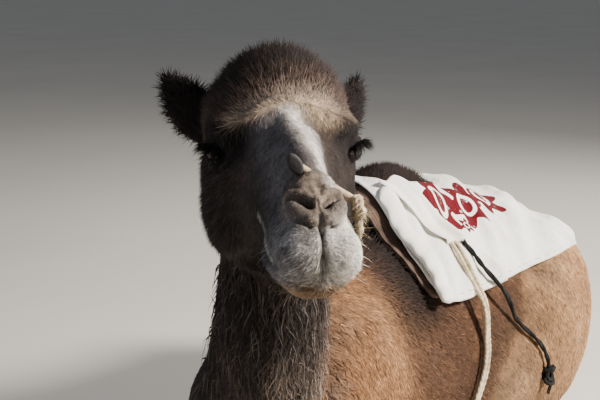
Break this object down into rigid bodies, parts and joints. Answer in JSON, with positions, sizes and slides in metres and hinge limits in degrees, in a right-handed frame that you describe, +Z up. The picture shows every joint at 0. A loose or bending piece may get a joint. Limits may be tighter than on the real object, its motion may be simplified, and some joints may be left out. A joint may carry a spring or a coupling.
{
  "type": "dromedary camel model",
  "caption": "Life-size still model of a couched dromedary camel, neck turned left, in saddle cloth, quilt, girth rope, side strap and nose peg.",
  "frame": {"origin": "middle of the flat underside of the breast pad, on the floor", "axes": "+Z up; -Y is the way the camel's body faces, so +Y runs back to the tail; +X is the camel's left, the side to which the neck and head are turned"},
  "size_m": [1.317, 2.544, 1.5145],
  "materials": {
    "coat": "short brown hair",
    "dark_coat": "long dark-brown to black hair",
    "callus": "bare grey-brown horny skin",
    "eye": "wet dark brown",
    "horn": "dull dark horn",
    "peg_wood": "worn dark wood",
    "rope": "twisted cream cotton rope",
    "quilt": "quilted brown cotton",
    "white_cotton": null,
    "black_strap": "dull black cord"
  },
  "bodies": {
    "root": {"breast_pad": "callus", "ear_left": "dark_coat", "ear_right": "dark_coat", "eye_left": "eye", "eye_right": "eye", "fore_cannon_left": "coat", "fore_cannon_right": "coat", "fore_foot_left": "coat", "fore_foot_right": "coat", "fore_nail_inner_left": "horn", "fore_nail_inner_right": "horn", "fore_nail_outer_left": "horn", "fore_nail_outer_right": "horn", "forearm_left": "coat", "forearm_right": "coat", "girth_rope": "rope", "head": "dark_coat", "hind_cannon_left": "coat", "hind_cannon_right": "coat", "hind_foot_left": "coat", "hind_foot_right": "coat", "hind_nail_inner_left": "horn", "hind_nail_inner_right": "horn", "hind_nail_outer_left": "horn", "hind_nail_outer_right": "horn", "hump": "dark_coat", "lower_jaw": "coat", "muzzle": "coat", "neck_lower": "coat", "neck_upper": "dark_coat", "nose_peg": "peg_wood", "peg_tie": "rope", "saddle_cloth": "white_cotton", "saddle_fold_left": "white_cotton", "saddle_fold_right": "white_cotton", "saddle_quilt": "quilt", "shank_left": "coat", "shank_right": "coat", "shoulder_left": "coat", "shoulder_right": "coat", "side_strap": "black_strap", "side_strap_knot": "black_strap", "tail": "coat", "tail_tuft": "dark_coat", "thigh_left": "coat", "thigh_right": "coat", "trunk": "coat"}
  },
  "joints": []
}
